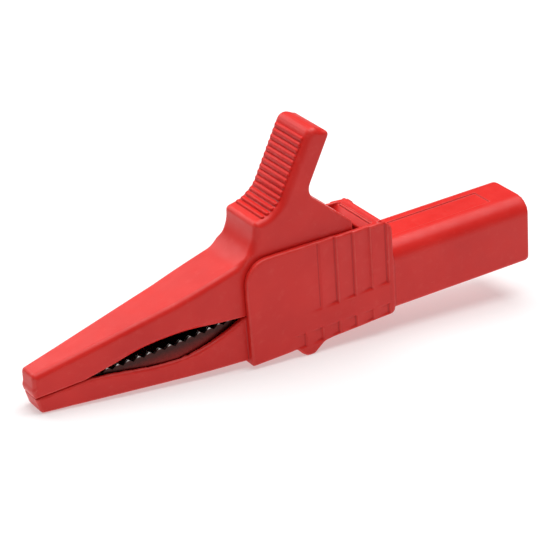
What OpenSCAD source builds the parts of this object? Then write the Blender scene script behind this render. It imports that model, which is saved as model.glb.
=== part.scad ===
// Insulated crocodile test clip with a shrouded 4 mm socket in its tail.
// Millimetres. The origin is the centre of the contact's mouth. +X leaves the socket,
// the jaws point along -X, Y runs across the clip and +Z is the side of the thumb tab.

/* [Barrel] */
// Width of the barrel that shrouds the socket
barrel_w = 11.8; // [11.4:0.1:15]
// Height of the barrel
barrel_h = 11.5; // [11.2:0.1:15]
// Length of the barrel behind the grip
barrel_len = 28.1; // [27.5:0.1:40]
// Radius of the barrel's two upper edges
barrel_top_r = 3.1; // [1:0.1:3.5]
// Radius of the barrel's two lower edges
barrel_bottom_r = 0.6; // [0.2:0.1:2]
// Depth of the flat panel sunk into the barrel's top
panel_depth = 0.15; // [0.05:0.05:0.3]
// Width of the sunk panel
panel_w = 4.4; // [2:0.1:5]
// Distance from the barrel's rear face to the sunk panel
panel_inset = 5.6; // [3:0.1:12]

/* [Socket] */
// Bore of the contact, for a standard 4 mm plug
contact_bore = 4.0; // [4.0:0.05:4.1]
// Outer diameter of the contact tube
contact_od = 5.0; // [4.9:0.1:5.4]
// Depth of the contact's bore
contact_bore_len = 20.5; // [18:0.5:21]
// How far the contact's mouth lies inside the barrel's rear face
contact_setback = 2.0; // [1:0.1:3]
// Diameter of the seating flange on the contact
contact_flange_d = 7.6; // [7:0.1:8]
// Thickness of the seating flange
contact_flange_t = 1.0; // [0.6:0.1:1.5]
// Outer diameter of the insulating sleeve round the contact
sleeve_od = 6.3; // [6:0.1:6.6]
// How far the sleeve's mouth lies inside the barrel's rear face
sleeve_setback = 0.6; // [0.2:0.1:1]
// Diameter of the recess that takes the plug's shroud
recess_d = 8.6; // [8.4:0.1:9]
// Depth of the recess
recess_depth = 24.0; // [23:0.5:25]
// Thickness of the bulkhead that the contact is screwed to
bulkhead_t = 3.5; // [2.5:0.1:5]

/* [Socket screw] */
// Diameter of the screw that clamps the contact
screw_d = 3.0; // [2.5:0.1:3.2]
// Diameter of the screw's head
screw_head_d = 5.5; // [4.5:0.1:6]
// Height of the screw's head
screw_head_h = 1.8; // [1.2:0.1:2.2]
// Length of the screw under its head
screw_len = 5.0; // [4:0.5:6]
// Thickness of the toothed lock washer
washer_t = 0.6; // [0.3:0.1:0.8]
// Outer diameter of the lock washer
washer_d = 6.0; // [5:0.1:6.4]

/* [Grip] */
// Width over the two cheeks
grip_w = 12.3; // [11.8:0.1:16]
// Length of the cheeks
grip_len = 28.0; // [26:0.1:36]
// Height of the cheeks' top edge above the socket's axis
cheek_top = 11.1; // [10.5:0.1:13]
// Depth of the grip's underside below the socket's axis
grip_drop = 6.85; // [6.3:0.05:9]
// Thickness of each cheek
cheek_wall = 1.0; // [0.9:0.05:1.4]
// Thickness of the grip's floor
floor_wall = 1.45; // [1.2:0.05:2]
// Radius of the cheeks' front upper corners
cheek_front_r = 3.0; // [1:0.1:4]
// Radius of the cheeks' rear upper corners
cheek_rear_r = 2.0; // [0.5:0.1:3]
// Height of the stop wall's top edge
stop_top = 10.7; // [10:0.1:12]
// Height of the stop wall's front edge, where its ramp begins
stop_edge = 9.2; // [8.5:0.1:10]
// Length of the ramp on the stop wall
stop_ramp = 1.6; // [1:0.1:2.5]
// Distance from the cheeks' rear edge to the front of the stop wall
stop_depth = 3.3; // [2.8:0.1:3.8]
// Radius of the finger rest under the pivot
finger_rest_r = 2.2; // [1.5:0.1:3]
// Distance from the cheeks' front edge to the finger rest
finger_rest_x = 10.9; // [8:0.1:14]
// How far the finger rest stands below the grip
finger_rest_drop = 1.85; // [1:0.05:3]
// Spacing of the grip grooves
groove_pitch = 3.3; // [2.5:0.1:4]
// Depth of a grip groove
groove_depth = 0.3; // [0.1:0.05:0.4]
// Width of a grip groove where it meets the cheek
groove_w = 1.2; // [0.6:0.1:1.6]
// Distance from the cheeks' rear edge to the first groove
groove_start = 1.3; // [1:0.1:3]

/* [Jaws] */
// Length of the jaws in front of the cheeks
jaw_len = 37.2; // [30:0.1:47]
// Width of the nose
nose_w = 4.8; // [4.6:0.1:7]
// Length of the tapered stretch
taper_len = 25.0; // [20:0.5:28]
// Wall of both jaw mouldings
jaw_wall = 1.15; // [1:0.05:1.4]
// Roof and floor of both jaw mouldings
jaw_roof = 1.2; // [1:0.05:1.5]
// Height of the parting line at the nose
part_nose_z = -1.85; // [-2.2:0.05:-1.5]
// Height of the parting line at the cheeks
part_grip_z = 1.5; // [1.2:0.05:1.8]
// Depth of the nose below the socket's axis
nose_drop = 4.35; // [4.2:0.05:5]
// Depth of the lower jaw below the axis at the cheeks
jaw_drop = 6.55; // [6:0.05:6.8]
// Height of the nose above the socket's axis
nose_rise = 1.65; // [1.5:0.05:3]
// Slope of the upper jaw's back, in degrees
back_slope = 13.2; // [11:0.1:14]
// Distance from the nose to the mouth between the jaws
mouth_start = 8.8; // [5:0.1:10]
// Rise of the mouth's upper edge above the parting line
mouth_rise = 2.3; // [1:0.1:2.8]
// Fall of the mouth's lower edge below the parting line
mouth_fall = 1.05; // [0.5:0.05:1.5]
// Gap between the two jaw mouldings when they are shut
parting_gap = 0.1; // [0.05:0.01:0.2]

/* [Toothed plates] */
// Thickness of the stamped plates
sheet_t = 0.5; // [0.4:0.05:0.6]
// Room between a plate and the moulding that holds it
sheet_gap = 0.1; // [0.05:0.01:0.15]
// Spacing of the teeth
tooth_pitch = 1.8; // [1.2:0.1:2.4]
// Height of the teeth
tooth_h = 0.7; // [0.4:0.05:0.9]
// Room between the meshed teeth
tooth_gap = 0.25; // [0.15:0.05:0.4]

/* [Pivot] */
// Diameter of the pivot pin
pin_d = 2.5; // [2:0.1:2.8]
// Distance from the cheeks' front edge to the pivot
pivot_setback = 10.1; // [9:0.1:11]
// Height of the pivot above the socket's axis
pivot_z = 3.0; // [2.5:0.1:3.5]
// Depth of the blind pin seat in each cheek
pin_seat = 0.55; // [0.3:0.05:0.6]
// Radial running clearance on the pin
running_clear = 0.05; // [0.02:0.01:0.09]
// Room between the lever's flanks and the cheeks
flank_clear = 0.15; // [0.1:0.01:0.25]

/* [Spring] */
// Diameter of the spring wire
wire_d = 1.0; // [0.8:0.05:1.1]
// Mean diameter of the coil
coil_d = 5.4; // [5.2:0.1:5.8]
// Whole turns of the coil, to which the legs add a part turn
coil_turns = 3; // [2:1:3]
// Spacing of the turns
coil_pitch = 1.1; // [1.05:0.05:1.2]
// Outer diameter of the bush inside the coil
bush_od = 4.0; // [3.4:0.1:4.1]
// Slope of the leg under the lever's roof, in degrees
upper_leg_angle = 40; // [36:1:42]
// Slope of the leg on the fixed plate, in degrees
lower_leg_angle = 35; // [30:1:38]

/* [Thumb tab] */
// Height of the tab's tip above the socket's axis
tab_top = 30.3; // [27:0.1:36]
// Thickness of the tab
tab_t = 3.85; // [3:0.05:4.5]
// Radius of the tab's front upper edge
tip_r = 1.6; // [0.8:0.1:1.8]
// Radius of the tab's rear upper edge
tip_rear_r = 0.7; // [0.3:0.1:1.2]
// Lean of the tab, in degrees from level
tab_lean = 62.5; // [58:0.5:66]
// Radius of the thumb scoop
scoop_r = 8.65; // [7.5:0.05:9]
// Slope of the scoop where it starts at the lip, in degrees
scoop_start = 10; // [5:1:15]
// Height of the scoop's lip above the socket's axis
lip_top = 17.2; // [16.5:0.1:18]
// Distance from the cheeks' front edge to the lip
lip_setback = 2.9; // [2:0.1:4]
// Radius of the hollow in front of the lip
lip_fillet_r = 6.5; // [5:0.1:7]
// Distance from the cheeks' front edge to the lever's heel
heel_setback = 21.0; // [19:0.1:21.2]
// Height of the lever's heel
heel_top = 12.2; // [11.5:0.1:13]
// Slope of the lever's back between the tab and the heel, in degrees
heel_slope = 42; // [38:1:46]
// Spacing of the ridges on the thumb face
ridge_pitch = 1.02; // [0.9:0.01:1.5]
// Height of the ridges
ridge_h = 0.3; // [0.15:0.05:0.4]
// Number of ridges
ridge_count = 10; // [5:1:10]
// Length of each ridge across the tab
ridge_len = 8.0; // [6:0.1:9]

/* [Hidden] */
$fn = 64;

// Stations along the clip
rear_x = contact_setback;
recess_end_x = rear_x - recess_depth;
bulkhead_x = recess_end_x - bulkhead_t;
grip_rear_x = rear_x - barrel_len;
grip_front_x = grip_rear_x - grip_len;
nose_x = grip_front_x - jaw_len;
stop_x = grip_rear_x - stop_depth;
pivot_x = grip_front_x + pivot_setback;
web_x = grip_front_x + 1.6;
mouth_x = nose_x + mouth_start;

// Widths, heights and fits
big = 60;
jaw_w = grip_w - 2 * (cheek_wall + flank_clear);
cheek_in = grip_w / 2 - cheek_wall;
flank_half = jaw_w / 2;
floor_z = floor_wall - grip_drop;
pin_r = pin_d / 2;
pin_bore_r = pin_r + running_clear;
sheet_inset = jaw_wall + sheet_gap;
ear_half = jaw_w / 2 - sheet_inset;
inner_ear_half = ear_half - sheet_t - flank_clear;
block_half = ear_half + flank_clear;
ear_r = pin_r + 1.9;
lever_eye_r = pin_r + 2.3;
coil_r = coil_d / 2;
contact_front_x = bulkhead_x - 0.3;
tunnel_half = max(washer_d, screw_head_d) / 2 + 0.6;
plate_x = contact_front_x - sheet_t;
tail_z = -tunnel_half + sheet_gap;
thread_r = screw_d / 2;

// Heights of the parting line, the back of the upper jaw and the bottom of the lower jaw
function part_z(x) = part_nose_z + (part_grip_z - part_nose_z) * (x - nose_x) / jaw_len;
function back_z(x) = nose_rise + (x - nose_x) * tan(back_slope);
function under_z(x) = -nose_drop - (jaw_drop - nose_drop) * (x - nose_x) / jaw_len;
// Bulge of the mouth at x, from nothing at its ends to one in the middle
function mouth(x) = x <= mouth_x || x >= grip_front_x ? 0 : sin(180 * (x - mouth_x) / (grip_front_x - mouth_x));
function arc(c, r, a0, a1, n = 10) = [for (i = [0:n]) let (a = a0 + (a1 - a0) * i / n) c + r * [cos(a), sin(a)]];
// Where two lines cross, each given as a point and a direction in degrees
function cross_point(p, a, q, b) =
    let (t = ((q.x - p.x) * sin(b) - (q.y - p.y) * cos(b)) / (cos(a) * sin(b) - sin(a) * cos(b)))
    p + t * [cos(a), sin(a)];

// An outline in X and Z, drawn out to both sides of the middle plane
module side_prism(outline, half_w) {
    rotate([90, 0, 0]) linear_extrude(height = 2 * half_w, center = true) polygon(outline);
}
// The jaws' tapered plan, narrowed by inset on each side
module jaw_plan(inset, x_end) {
    tip = nose_w / 2 - inset;
    full = jaw_w / 2 - inset;
    linear_extrude(height = 2 * big, center = true)
        polygon([[nose_x, -tip], [nose_x + taper_len, -full], [x_end, -full],
                 [x_end, full], [nose_x + taper_len, full], [nose_x, tip]]);
}
module cross_pin(x, z, r, half_w) {
    translate([x, 0, z]) rotate([90, 0, 0]) cylinder(r = r, h = 2 * half_w, center = true);
}
// A round bar along X from x0 to x1
module x_bar(x0, x1, r) {
    translate([x0, 0, 0]) rotate([0, 90, 0]) cylinder(r = r, h = x1 - x0);
}

// ---- Body shell: lower jaw, cheeks, stop wall and barrel in one moulding ----
module barrel_section() {
    w = barrel_w / 2;
    h = barrel_h / 2;
    t = barrel_top_r;
    b = barrel_bottom_r;
    for (s = [-1, 1]) {
        translate([s * (w - t), h - t]) circle(r = t);
        translate([s * (w - b), b - h]) circle(r = b);
    }
    polygon([[-w, b - h], [b - w, -h], [w - b, -h], [w, b - h],
             [w, h - t], [w - t, h], [t - w, h], [-w, h - t]]);
}
module barrel_solid() {
    translate([grip_rear_x - 1, 0, 0]) rotate([90, 0, 90])
        linear_extrude(height = barrel_len + 1) barrel_section();
}
function cheek_outline() = concat(
    [[grip_front_x, -grip_drop], [grip_rear_x, -grip_drop]],
    arc([grip_rear_x - cheek_rear_r, stop_top - cheek_rear_r], cheek_rear_r, 0, 90),
    [[stop_x, cheek_top]],
    arc([grip_front_x + cheek_front_r, cheek_top - cheek_front_r], cheek_front_r, 90, 180));
// Open space between the cheeks, with the stop wall's ramp at its back
function grip_hollow() = [
    [web_x, floor_z], [stop_x, floor_z], [stop_x, stop_edge], [stop_x + stop_ramp, stop_top],
    [stop_x + stop_ramp, big], [grip_front_x - 1, big], [grip_front_x - 1, part_grip_z], [web_x, part_grip_z]];
mouth_steps = 14;
mouth_xs = [for (i = [0:mouth_steps]) mouth_x + (grip_front_x - mouth_x) * i / mouth_steps];
function lower_jaw_outline() = concat(
    [[nose_x, under_z(nose_x)], [nose_x, part_z(nose_x)]],
    [for (x = mouth_xs) [x, part_z(x) - mouth_fall * mouth(x)]],
    [[web_x, part_grip_z], [web_x, -jaw_drop]]);
function lower_trough() = [
    [nose_x + jaw_wall, under_z(nose_x) + jaw_roof], [grip_front_x, floor_z],
    [web_x + 1, floor_z], [web_x + 1, big], [nose_x + jaw_wall, big]];
module grip_grooves() {
    n = floor((grip_len * 0.55 - groove_start) / groove_pitch);
    // radius of the cutter that leaves a groove of the stated width and depth
    r = (groove_w * groove_w / 4 + groove_depth * groove_depth) / (2 * groove_depth);
    for (s = [-1, 1]) for (i = [0:n]) {
        x = grip_rear_x - groove_start - i * groove_pitch;
        translate([x, s * (grip_w / 2 + r - groove_depth), cheek_top - 2]) {
            translate([0, 0, -9.5]) cylinder(r = r, h = 20);
        }
        translate([x, s * (grip_w / 2 + r - groove_depth), -big - 4.4]) cylinder(r = r, h = big);
    }
}
module body_shell() color([0.80, 0.10, 0.09]) {
    difference() {
        union() {
            barrel_solid();
            side_prism(cheek_outline(), grip_w / 2);
            intersection() {
                side_prism(lower_jaw_outline(), jaw_w / 2);
                jaw_plan(0, web_x);
            }
            cross_pin(grip_front_x + finger_rest_x, finger_rest_r - grip_drop - finger_rest_drop,
                      finger_rest_r, grip_w / 2);
        }
        side_prism(grip_hollow(), cheek_in);
        intersection() {
            side_prism(lower_trough(), jaw_w / 2);
            jaw_plan(jaw_wall, web_x + 1);
        }
        // passage for the plate's tail and the screw
        translate([stop_x - 1, -tunnel_half, -tunnel_half])
            cube([bulkhead_x - stop_x + 1, 2 * tunnel_half, 2 * tunnel_half]);
        x_bar(bulkhead_x - 1, recess_end_x + 1, contact_od / 2);
        x_bar(recess_end_x, rear_x + 1, recess_d / 2);
        cross_pin(pivot_x, pivot_z, pin_r, cheek_in + pin_seat);
        translate([grip_rear_x + 2, -panel_w / 2, barrel_h / 2 - panel_depth])
            cube([barrel_len - panel_inset - 2, panel_w, 1]);
        grip_grooves();
    }
}

// ---- Lever shell: upper jaw and thumb tab in one moulding ----
lip_x = grip_front_x + lip_setback;
heel_x = grip_front_x + heel_setback;
scoop_c = [lip_x + 0.5, lip_top] + scoop_r * [-sin(scoop_start), cos(scoop_start)];
scoop_end = scoop_c + scoop_r * [sin(tab_lean), -cos(tab_lean)];
tab_dir = [cos(tab_lean), sin(tab_lean)];
tab_side = [sin(tab_lean), -cos(tab_lean)];
// Centres of the two rounded edges at the tip
tip_c = let (m = scoop_end + tip_r * tab_side) m + tab_dir * (tab_top - tip_r - m.y) / tab_dir.y;
tip_rear_c = tip_c + tab_dir * (tip_r - tip_rear_r) + tab_side * (tab_t - tip_r - tip_rear_r);
notch = cross_point(tip_rear_c + tip_rear_r * tab_side, tab_lean, [heel_x, heel_top], -heel_slope);
// Foot of the hollow in front of the lip, where it runs into the jaw's back
fillet_c = [lip_x - lip_fillet_r,
            back_z(lip_x - lip_fillet_r) + lip_fillet_r / cos(back_slope)];
function lever_outline() = concat(
    [[nose_x, part_z(nose_x) + parting_gap], [nose_x, nose_rise]],
    arc(fillet_c, lip_fillet_r, back_slope - 90, 0),
    [[lip_x, lip_top - 0.3], [lip_x + 0.3, lip_top]],
    arc(scoop_c, scoop_r, scoop_start - 90, tab_lean - 90),
    arc(tip_c, tip_r, tab_lean + 90, tab_lean),
    arc(tip_rear_c, tip_rear_r, tab_lean, tab_lean - 90),
    [notch, [heel_x - 0.5, heel_top + 0.5 * tan(heel_slope)], [heel_x + 0.2, heel_top - 0.7], [heel_x + 0.2, 8],
     [pivot_x + lever_eye_r * 0.7, pivot_z - lever_eye_r * 0.7],
     [pivot_x - lever_eye_r * 0.7, pivot_z - lever_eye_r * 0.7], [web_x + 0.4, part_grip_z + parting_gap]],
    [for (i = [0:mouth_steps]) let (x = mouth_xs[mouth_steps - i])
        [x, part_z(x) + parting_gap + mouth_rise * mouth(x)]]);
// Height of the roof inside the upper jaw
function roof_z(x) = back_z(x) - jaw_roof / cos(back_slope);
block_x = lip_x + jaw_roof;
heel_in = [heel_x - 1.1, heel_top - jaw_roof / cos(heel_slope) + 1.1 * tan(heel_slope)];
notch_in = notch + [-0.2, -jaw_roof * 1.9];
function upper_trough() = [
    [nose_x + jaw_wall, -big], [nose_x + jaw_wall, roof_z(nose_x + jaw_wall)],
    [block_x + 1, roof_z(block_x + 1)], [block_x + 1, -big]];
function block_hollow() = [
    [block_x, -big], [block_x, lip_top - jaw_roof - 0.4], [block_x + 3.5, lip_top - jaw_roof - 0.2],
    notch_in, heel_in, [heel_in.x, -big]];
module thumb_ridges() {
    for (i = [0:ridge_count - 1]) {
        p = scoop_end + tab_dir * (i - 1.5) * ridge_pitch - tab_side * 0.1;
        translate([p.x, 0, p.y]) rotate([0, 90 - tab_lean, 0])
            cube([2 * (ridge_h + 0.1), ridge_len, ridge_pitch * 0.55], center = true);
    }
}
module lever_shell() color([0.82, 0.11, 0.10]) {
    difference() {
        union() {
            intersection() {
                side_prism(lever_outline(), flank_half);
                jaw_plan(0, heel_x + 10);
            }
            cross_pin(pivot_x, pivot_z, lever_eye_r, flank_half);
        }
        intersection() {
            side_prism(upper_trough(), jaw_w / 2);
            jaw_plan(jaw_wall, block_x + 1);
        }
        side_prism(block_hollow(), block_half);
        cross_pin(pivot_x, pivot_z, pin_bore_r, flank_half + 1);
        translate([rivet_x, 0, 0]) cylinder(r = rivet_r, h = roof_z(rivet_x) + rivet_grip);
    }
    difference() {
        thumb_ridges();
        side_prism(lever_outline(), flank_half);
    }
}

// ---- Fixed toothed plate, with its pivot ears and the tail to the socket ----
teeth_x0 = nose_x + jaw_wall + sheet_gap;
tooth_count = floor((grip_front_x - teeth_x0) / tooth_pitch);
// Zigzag between the jaws, from the rear to the nose
function zigzag(shift, lift) = [for (i = [2 * tooth_count:-1:0])
    let (x = teeth_x0 + i * tooth_pitch / 2) [x, part_z(x) + lift + tooth_h * (i % 2 - 0.5) * shift]];
function under_in(x) = under_z(x) + jaw_roof + sheet_gap;
plate_floor = floor_z + sheet_gap;
ear_rear_x = pivot_x + ear_r;
function fixed_outline() = concat(
    [[teeth_x0, under_in(teeth_x0)], [grip_front_x, plate_floor], [ear_rear_x, plate_floor],
     [ear_rear_x, pivot_z], [pivot_x - ear_r, pivot_z + 0.1], [pivot_x - ear_r - 3, part_grip_z]],
    zigzag(1, 0));
function fixed_hollow() = [
    [teeth_x0 - 1, under_in(teeth_x0 - 1) + sheet_t], [grip_front_x, plate_floor + sheet_t],
    [ear_rear_x + 1, plate_floor + sheet_t], [ear_rear_x + 1, big], [teeth_x0 - 1, big]];
tail_half = 3.0;
tail_ramp_x = ear_rear_x + 3;
function tail_outline() = [
    [ear_rear_x - 1, plate_floor], [tail_ramp_x, plate_floor], [tail_ramp_x + 2, tail_z],
    [plate_x + sheet_t, tail_z], [plate_x + sheet_t, thread_r + 1.4], [plate_x, thread_r + 1.4],
    [plate_x, tail_z + sheet_t], [tail_ramp_x + 2 - 0.2, tail_z + sheet_t],
    [tail_ramp_x - 0.2, plate_floor + sheet_t], [ear_rear_x - 1, plate_floor + sheet_t]];
module fixed_jaw() color([0.74, 0.74, 0.76]) {
    difference() {
        union() {
            difference() {
                intersection() {
                    union() {
                        side_prism(fixed_outline(), jaw_w / 2);
                        cross_pin(pivot_x, pivot_z, ear_r, jaw_w / 2);
                    }
                    jaw_plan(sheet_inset, ear_rear_x);
                }
                intersection() {
                    side_prism(fixed_hollow(), jaw_w / 2);
                    jaw_plan(sheet_inset + sheet_t, ear_rear_x + 1);
                }
            }
            side_prism(tail_outline(), tail_half);
        }
        cross_pin(pivot_x, pivot_z, pin_bore_r, jaw_w);
        x_bar(plate_x - 1, plate_x + 1, thread_r + 0.1);
    }
}

// ---- Moving toothed plate, riveted under the lever's roof ----
rivet_x = grip_front_x + 1.5;
rivet_r = 1.0;
rivet_grip = 0.7;
moving_end_x = grip_front_x - 3;
roof_end_x = pivot_x + 1;
function plate_top(x) = roof_z(x) - sheet_gap;
function moving_outline() = concat(
    [[teeth_x0, plate_top(teeth_x0)], [roof_end_x, plate_top(roof_end_x)],
     [roof_end_x, plate_top(roof_end_x) - sheet_t], [moving_end_x, plate_top(moving_end_x) - sheet_t]],
    [for (p = zigzag(1, tooth_gap)) if (p.x < moving_end_x)
        [p.x, p.y + max(0, (mouth_rise + 0.2) * mouth(p.x))]]);
function moving_hollow() = [
    [teeth_x0 - 1, -big], [teeth_x0 - 1, plate_top(teeth_x0 - 1) - sheet_t],
    [ear_rear_x + 1, plate_top(ear_rear_x + 1) - sheet_t], [ear_rear_x + 1, -big]];
function inner_ear_outline() = [
    [moving_end_x - 1, plate_top(moving_end_x - 1) - sheet_t * 0.5], [roof_end_x, plate_top(roof_end_x) - sheet_t * 0.5],
    [pivot_x + ear_r * 0.95, pivot_z + ear_r * 0.3], [pivot_x - ear_r * 0.95, pivot_z - ear_r * 0.3]];
module moving_jaw() color([0.74, 0.74, 0.76]) {
    difference() {
        union() {
            difference() {
                intersection() {
                    side_prism(moving_outline(), jaw_w / 2);
                    jaw_plan(sheet_inset, roof_end_x);
                }
                intersection() {
                    side_prism(moving_hollow(), jaw_w / 2);
                    jaw_plan(sheet_inset + sheet_t, ear_rear_x + 1);
                }
            }
            difference() {
                union() {
                    side_prism(inner_ear_outline(), inner_ear_half);
                    cross_pin(pivot_x, pivot_z, ear_r, inner_ear_half);
                }
                side_prism(moving_hollow(), inner_ear_half - sheet_t);
            }
        }
        cross_pin(pivot_x, pivot_z, pin_bore_r, jaw_w);
        translate([rivet_x, 0, 0]) cylinder(r = rivet_r, h = big);
    }
}
module jaw_rivet() color([0.70, 0.70, 0.72]) {
    z_head = plate_top(rivet_x) - sheet_t - 0.5;
    translate([rivet_x, 0, z_head]) cylinder(r = rivet_r, h = roof_z(rivet_x) + rivet_grip - z_head);
    translate([rivet_x, 0, z_head - 0.5]) cylinder(r1 = 1.2, r2 = 1.9, h = 0.5);
}

// ---- Pivot pin, bush and torsion spring ----
module pivot_pin() color([0.78, 0.78, 0.80]) {
    cross_pin(pivot_x, pivot_z, pin_r, cheek_in + pin_seat);
}
module spring_bush() color([0.93, 0.91, 0.86]) {
    difference() {
        cross_pin(pivot_x, pivot_z, bush_od / 2, inner_ear_half - sheet_t - 0.1);
        cross_pin(pivot_x, pivot_z, pin_bore_r, jaw_w);
    }
}
// The wire's centre line: upper leg, coil, lower leg
coil_start = 90 + upper_leg_angle;
coil_sweep = 270 - lower_leg_angle - coil_start + 360 * coil_turns;
coil_steps = ceil(coil_sweep / 15);
function coil_point(a) = [pivot_x + coil_r * cos(a), (0.5 - (a - coil_start) / coil_sweep) * coil_pitch * coil_sweep / 360,
                          pivot_z + coil_r * sin(a)];
upper_leg_start = coil_point(coil_start);
lower_leg_start = coil_point(coil_start + coil_sweep);
// Each leg ends where the wire's side meets the roof or the plate
roof_hit = cross_point([upper_leg_start.x, upper_leg_start.z], upper_leg_angle,
                       heel_in - (wire_d / 2 + 0.05) * [sin(heel_slope), cos(heel_slope)], -heel_slope);
floor_hit = cross_point([lower_leg_start.x, lower_leg_start.z], -lower_leg_angle,
                        [pivot_x, plate_floor + sheet_t + wire_d / 2 + 0.05], 0);
spring_path = concat(
    [[roof_hit.x, upper_leg_start.y, roof_hit.y]],
    [for (i = [0:coil_steps]) coil_point(coil_start + coil_sweep * i / coil_steps)],
    [[floor_hit.x, lower_leg_start.y, floor_hit.y]]);
// Wire swept along a path that turns about an axis parallel to Y
module wire(path, d, sides = 10) {
    n = len(path);
    function along(i) = path[min(i + 1, n - 1)] - path[max(i - 1, 0)];
    function flat(i) = let (t = along(i), l = norm([t.x, t.z])) [t.z / l, 0, -t.x / l];
    ring = [for (i = [0:n - 1]) for (k = [0:sides - 1])
        path[i] + d / 2 * (cos(360 * k / sides) * flat(i) + sin(360 * k / sides) * [0, 1, 0])];
    faces = concat(
        [[for (k = [0:sides - 1]) k]],
        [for (i = [0:n - 2]) for (k = [0:sides - 1]) let (m = (k + 1) % sides)
            [i * sides + k, (i + 1) * sides + k, (i + 1) * sides + m]],
        [for (i = [0:n - 2]) for (k = [0:sides - 1]) let (m = (k + 1) % sides)
            [i * sides + k, (i + 1) * sides + m, i * sides + m]],
        [[for (k = [sides - 1:-1:0]) (n - 1) * sides + k]]);
    polyhedron(points = ring, faces = faces);
}
module torsion_spring() color([0.60, 0.60, 0.62]) {
    wire(spring_path, wire_d);
}

// ---- Socket ----
module contact_socket() color([0.80, 0.78, 0.72]) {
    difference() {
        union() {
            x_bar(contact_front_x, 0, contact_od / 2);
            x_bar(recess_end_x, recess_end_x + contact_flange_t, contact_flange_d / 2);
        }
        x_bar(-contact_bore_len, 1, contact_bore / 2);
        x_bar(contact_front_x - 1, contact_front_x + 4, thread_r);
    }
}
module socket_sleeve() color([0.80, 0.10, 0.09]) {
    difference() {
        x_bar(recess_end_x + contact_flange_t, rear_x - sleeve_setback, sleeve_od / 2);
        x_bar(recess_end_x, 0.2, contact_od / 2);
        x_bar(0, rear_x, contact_bore / 2 + 0.25);
    }
}
module lock_washer() color([0.66, 0.66, 0.68]) {
    difference() {
        x_bar(plate_x - washer_t, plate_x, washer_d / 2);
        x_bar(plate_x - 1, plate_x + 1, thread_r + 0.1);
    }
}
module socket_screw() color([0.72, 0.72, 0.74]) {
    head_x = plate_x - washer_t;
    x_bar(head_x, head_x + screw_len, thread_r);
    difference() {
        x_bar(head_x - screw_head_h, head_x, screw_head_d / 2);
        // cross recess
        for (turn = [0, 90]) rotate([turn, 0, 0])
            translate([head_x - screw_head_h - 1, -1.5, -0.35]) cube([2.0, 3.0, 0.7]);
    }
}

body_shell();
lever_shell();
fixed_jaw();
moving_jaw();
pivot_pin();
spring_bush();
torsion_spring();
contact_socket();
socket_sleeve();
socket_screw();
lock_washer();
jaw_rivet();
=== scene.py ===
# %% [markdown]
# # Alligator clip lead: the insulated clip with its safety socket
# This lesson builds the look of a crocodile test clip. On the real object two red plastic
# mouldings cover a pair of toothed plates, and a square barrel behind them shrouds a
# 4 mm socket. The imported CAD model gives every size, joint and hidden part, and each
# piece made here takes its place from that model.
#
# The two mouldings have soft edges all over, which is what makes plastic look like plastic.
# They are made as distance fields: a formula says how far any point is from the skin, and
# fillets are part of the formula. A net of points is then laid on the skin. Boxes with
# bevels and boolean cuts could make the same shapes, but bevels break down where several
# small edges meet, as they do at the stop wall and the finger rest.

import math

import bmesh
import bpy
import numpy as np
from mathutils import Matrix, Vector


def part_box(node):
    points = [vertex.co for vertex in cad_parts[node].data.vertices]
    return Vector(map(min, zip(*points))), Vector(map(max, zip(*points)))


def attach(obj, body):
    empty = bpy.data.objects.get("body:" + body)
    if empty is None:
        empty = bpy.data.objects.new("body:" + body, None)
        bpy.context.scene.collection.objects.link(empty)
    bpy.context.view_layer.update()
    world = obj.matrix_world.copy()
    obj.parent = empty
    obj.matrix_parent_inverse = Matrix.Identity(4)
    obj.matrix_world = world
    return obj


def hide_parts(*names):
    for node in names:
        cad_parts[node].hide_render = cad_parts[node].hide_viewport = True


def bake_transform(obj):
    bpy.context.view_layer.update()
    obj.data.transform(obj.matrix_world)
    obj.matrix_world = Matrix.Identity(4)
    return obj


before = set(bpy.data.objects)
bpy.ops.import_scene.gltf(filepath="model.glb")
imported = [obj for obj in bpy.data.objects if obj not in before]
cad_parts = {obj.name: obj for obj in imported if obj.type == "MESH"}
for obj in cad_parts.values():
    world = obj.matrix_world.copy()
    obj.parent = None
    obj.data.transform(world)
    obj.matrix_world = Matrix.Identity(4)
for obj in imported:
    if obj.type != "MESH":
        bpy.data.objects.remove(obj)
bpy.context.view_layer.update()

MM = 0.001
body_low, body_high = np.array(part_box("body_shell")) / MM
lever_high = np.array(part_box("lever_shell")[1]) / MM
pin_low, pin_high = np.array(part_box("pivot_pin")) / MM

# %% [markdown]
# ## Stations
# The moulder's drawing has a few stations along the clip: nose, front of the cheeks, rear of
# the cheeks and rear of the barrel. The outer ones are read from the model's boxes, so that
# the look and the model can't drift apart, and the lengths between them are the drawing's.

# %% Stations along the clip, in millimetres
NOSE_X = body_low[0]
REAR_X = body_high[0]
BARREL_LEN = 28.1
GRIP_LEN = 28.0
GRIP_REAR_X = REAR_X - BARREL_LEN
GRIP_FRONT_X = GRIP_REAR_X - GRIP_LEN
GRIP_HALF = body_high[1]
CHEEK_WALL = 1.0
CHEEK_IN = GRIP_HALF - CHEEK_WALL
FLANK = lever_high[1]
TAB_TOP = lever_high[2]
PIVOT_X = (pin_low[0] + pin_high[0]) / 2
PIVOT_Z = (pin_low[2] + pin_high[2]) / 2
PIN_R = (pin_high[0] - pin_low[0]) / 2
JAW_WALL = 1.15
ROOF = 1.2
FLOOR_Z = -5.4
WEB_T = 1.6
WEB_X = GRIP_FRONT_X + WEB_T
MOUTH_LEN = 28.4
MOUTH_X = GRIP_FRONT_X - MOUTH_LEN
STOP_DEPTH = 3.3
STOP_X = GRIP_REAR_X - STOP_DEPTH
print("nose, cheeks, barrel:", NOSE_X, GRIP_FRONT_X, GRIP_REAR_X, REAR_X)

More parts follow.
